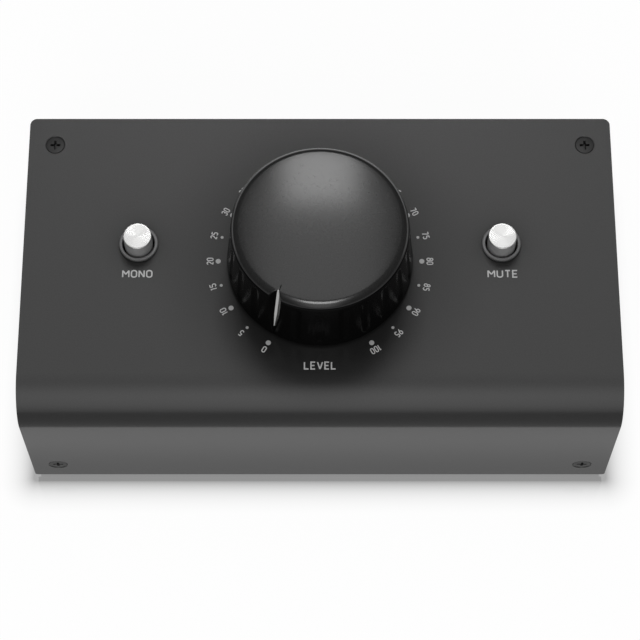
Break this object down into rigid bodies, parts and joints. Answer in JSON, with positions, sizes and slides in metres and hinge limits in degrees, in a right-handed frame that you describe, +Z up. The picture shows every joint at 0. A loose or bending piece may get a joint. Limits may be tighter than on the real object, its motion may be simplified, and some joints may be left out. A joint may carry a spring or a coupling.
{
  "type": "studio monitor controller",
  "caption": "Passive desktop volume controller: folded steel case, large level knob, mono and mute push buttons on top, audio sockets on the back.",
  "frame": {"origin": "on the resting surface, under the middle of the whole object's box", "axes": "+X to the right and +Y to the back as seen by the user, +Z up; the front and the button labels face -Y"},
  "size_m": [0.16, 0.0892, 0.0761],
  "materials": {
    "cover_paint": "fine dark grey powder coat",
    "chassis_paint": "black powder coat",
    "black_screw": "black zinc",
    "foot_rubber": "matte",
    "knob_plastic": "glossy side, soft matte top",
    "pointer_white": "satin white",
    "button_metal": "bright metal",
    "ring_plastic": "satin",
    "black_nylon": "moulded",
    "insert_plastic": "moulded",
    "zinc_plate": "zinc plated",
    "bright_steel": "turned",
    "spring_wire": "drawn wire",
    "board_laminate": "solder mask over glass laminate",
    "standoff_brass": "turned",
    "ribbon_grey": "soft",
    "contact_plate": "silver plated"
  },
  "bodies": {
    "case": {"top_cover": "cover_paint", "base_chassis": "chassis_paint", "cover_screw_rear_left": "black_screw", "cover_screw_rear_right": "black_screw", "cover_screw_front_left": "black_screw", "cover_screw_front_right": "black_screw", "foot_front_left": "foot_rubber", "foot_front_right": "foot_rubber", "foot_rear_left": "foot_rubber", "foot_rear_right": "foot_rubber", "pot_bush": "zinc_plate", "pot_housing": "zinc_plate", "pot_washer": "bright_steel", "pot_nut": "zinc_plate", "mono_ring": "ring_plastic", "mute_ring": "ring_plastic", "mono_spring": "spring_wire", "mute_spring": "spring_wire", "mono_switch_housing": "black_nylon", "mute_switch_housing": "black_nylon", "control_board": "board_laminate", "connector_board": "board_laminate", "board_standoff_left": "standoff_brass", "board_standoff_right": "standoff_brass", "board_screw_left": "zinc_plate", "board_screw_right": "zinc_plate", "ribbon_cable": "ribbon_grey", "control_board_plug": "black_nylon", "connector_board_plug": "black_nylon", "output_left_shell": "black_nylon", "output_left_pin_1": "contact_plate", "output_left_pin_2": "contact_plate", "output_left_pin_3": "contact_plate", "output_right_shell": "black_nylon", "output_right_pin_1": "contact_plate", "output_right_pin_2": "contact_plate", "output_right_pin_3": "contact_plate", "input_left_shell": "black_nylon", "input_left_insert": "insert_plastic", "input_right_shell": "black_nylon", "input_right_insert": "insert_plastic", "mini_jack": "black_nylon", "mini_jack_nut": "zinc_plate", "output_left_screw_upper": "black_screw", "output_left_screw_lower": "black_screw", "output_right_screw_upper": "black_screw", "output_right_screw_lower": "black_screw", "input_left_screw_upper": "black_screw", "input_left_screw_lower": "black_screw", "input_right_screw_upper": "black_screw", "input_right_screw_lower": "black_screw"},
    "level_knob": {"knob_body": "knob_plastic", "knob_pointer": "pointer_white", "pot_shaft": "bright_steel"},
    "mono_button": {"mono_cap": "button_metal", "mono_plunger": "black_nylon"},
    "mute_button": {"mute_cap": "button_metal", "mute_plunger": "black_nylon"}
  },
  "joints": [
    {"name": "level_turn", "type": "hinge", "parent": "case", "child": "level_knob", "pos_m": [0, -0.0011, 0.052], "axis": [0, 0, -1], "range_deg": [0, 300]},
    {"name": "mono_press", "type": "slide", "parent": "case", "child": "mono_button", "axis": [0, 0, -1], "range_m": [0, 0.003], "stiffness_N_per_m": 300, "springref_m": -0.003, "deforming": ["mono_spring"]},
    {"name": "mute_press", "type": "slide", "parent": "case", "child": "mute_button", "axis": [0, 0, -1], "range_m": [0, 0.003], "stiffness_N_per_m": 300, "springref_m": -0.003, "deforming": ["mute_spring"]}
  ]
}
